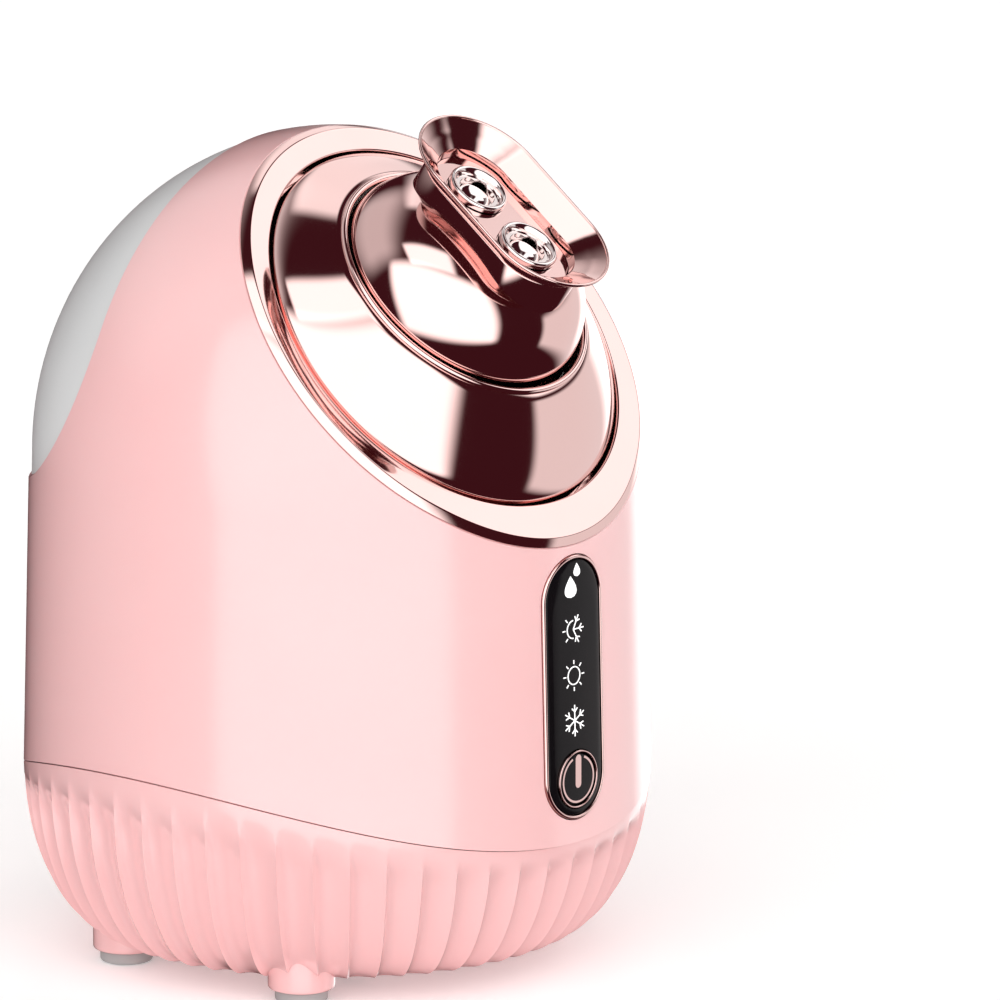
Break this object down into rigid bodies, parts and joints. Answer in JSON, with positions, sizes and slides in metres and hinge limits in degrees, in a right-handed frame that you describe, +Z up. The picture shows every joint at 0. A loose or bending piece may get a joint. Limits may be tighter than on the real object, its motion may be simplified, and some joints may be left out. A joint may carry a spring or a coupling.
{
  "type": "facial steamer",
  "caption": "Free-standing facial steamer with a round body, lift-off rear water tank, slanted swivel turret, tilting ball head with a flared twin-outlet nozzle, touch panel and fluted base.",
  "frame": {"origin": "on the surface it stands on, under the middle of the whole outline (1.8 mm in front of the round body's axis)", "axes": "+Z up, the control panel faces -Y, +X to the right of someone who faces the panel from the front"},
  "size_m": [0.162, 0.166, 0.2227],
  "materials": {
    "pink_moulding": "satin moulded plastic, light pink",
    "rose_gold": "polished rose-gold plating",
    "bright_chrome": "polished bright plating",
    "black_lens": "gloss black lens",
    "clear_tank": "frosted clear plastic",
    "grey_rubber": "matt rubber",
    "steel": "bare stainless",
    "brass": "bare brass",
    "white_nylon": "natural nylon",
    "dark_moulding": "black engineering plastic",
    "circuit_board": "green solder resist",
    "winding_tape": "amber winding tape"
  },
  "bodies": {
    "housing": {"body_shell": "pink_moulding", "base_bowl": "pink_moulding", "bottom_cover": "pink_moulding", "face_ring": "rose_gold", "panel_bezel": "rose_gold", "button_ring": "rose_gold", "panel_lens": "black_lens", "dock_cup": "white_nylon", "valve_post": "white_nylon", "swivel_race": "white_nylon", "boiler": "steel", "heater_ring": "brass", "thermostat": "dark_moulding", "atomiser_cup": "white_nylon", "atomiser_disc": "steel", "steam_duct": "white_nylon", "mist_duct": "white_nylon", "boiler_feed": "white_nylon", "atomiser_feed": "white_nylon", "feed_tee": "white_nylon", "power_board": "circuit_board", "control_board": "circuit_board", "transformer": "winding_tape", "capacitor": "dark_moulding", "power_switch": "dark_moulding", "fan_frame": "dark_moulding", "fan_motor": "dark_moulding", "power_inlet": "dark_moulding", "inlet_pin_left": "brass", "inlet_pin_right": "brass", "cover_screw_1": "steel", "cover_screw_2": "steel", "cover_screw_3": "steel", "cover_screw_4": "steel", "foot_pad_front_left": "grey_rubber", "foot_pad_front_right": "grey_rubber", "foot_pad_rear_left": "grey_rubber", "foot_pad_rear_right": "grey_rubber"},
    "turret": {"turret_cone": "rose_gold", "head_cradle": "white_nylon"},
    "spray_head": {"ball_head": "rose_gold", "horn_nozzle": "rose_gold", "nozzle_plate": "rose_gold", "hot_outlet": "bright_chrome", "cold_outlet": "bright_chrome"},
    "button": {"power_button": "black_lens"},
    "tank": {"water_tank": "clear_tank"},
    "cap": {"tank_cap": "white_nylon", "cap_seal": "grey_rubber"},
    "valve": {"valve_plunger": "steel"},
    "fan": {"fan_impeller": "dark_moulding"}
  },
  "joints": [
    {"name": "turret_swivel", "type": "hinge", "parent": "housing", "child": "turret", "pos_m": [0, -0.03503, 0.16831], "axis": [0, -0.7501, 0.6613], "range_deg": [-60, 60]},
    {"name": "head_tilt", "type": "hinge", "parent": "turret", "child": "spray_head", "pos_m": [0, -0.0369, 0.17556], "axis": [1, 0, 0], "range_deg": [-15, 20]},
    {"name": "power_press", "type": "slide", "parent": "housing", "child": "button", "axis": [0, 1, 0], "range_m": [0, 0.0008], "stiffness_N_per_m": 600},
    {"name": "tank_lift", "type": "slide", "parent": "housing", "child": "tank", "axis": [0, 0, 1], "range_m": [0, 0.06]},
    {"name": "cap_turn", "type": "hinge", "parent": "tank", "child": "cap", "pos_m": [0, 0.0608, 0.1165], "axis": [0, 0, 1], "range_deg": [0, 90]},
    {"name": "valve_press", "type": "slide", "parent": "cap", "child": "valve", "axis": [0, 0, 1], "range_m": [0, 0.0025], "stiffness_N_per_m": 150},
    {"name": "fan_spin", "type": "hinge", "parent": "housing", "child": "fan", "pos_m": [0.03, -0.0102, 0.034], "axis": [0, 0, 1], "continuous": true}
  ]
}
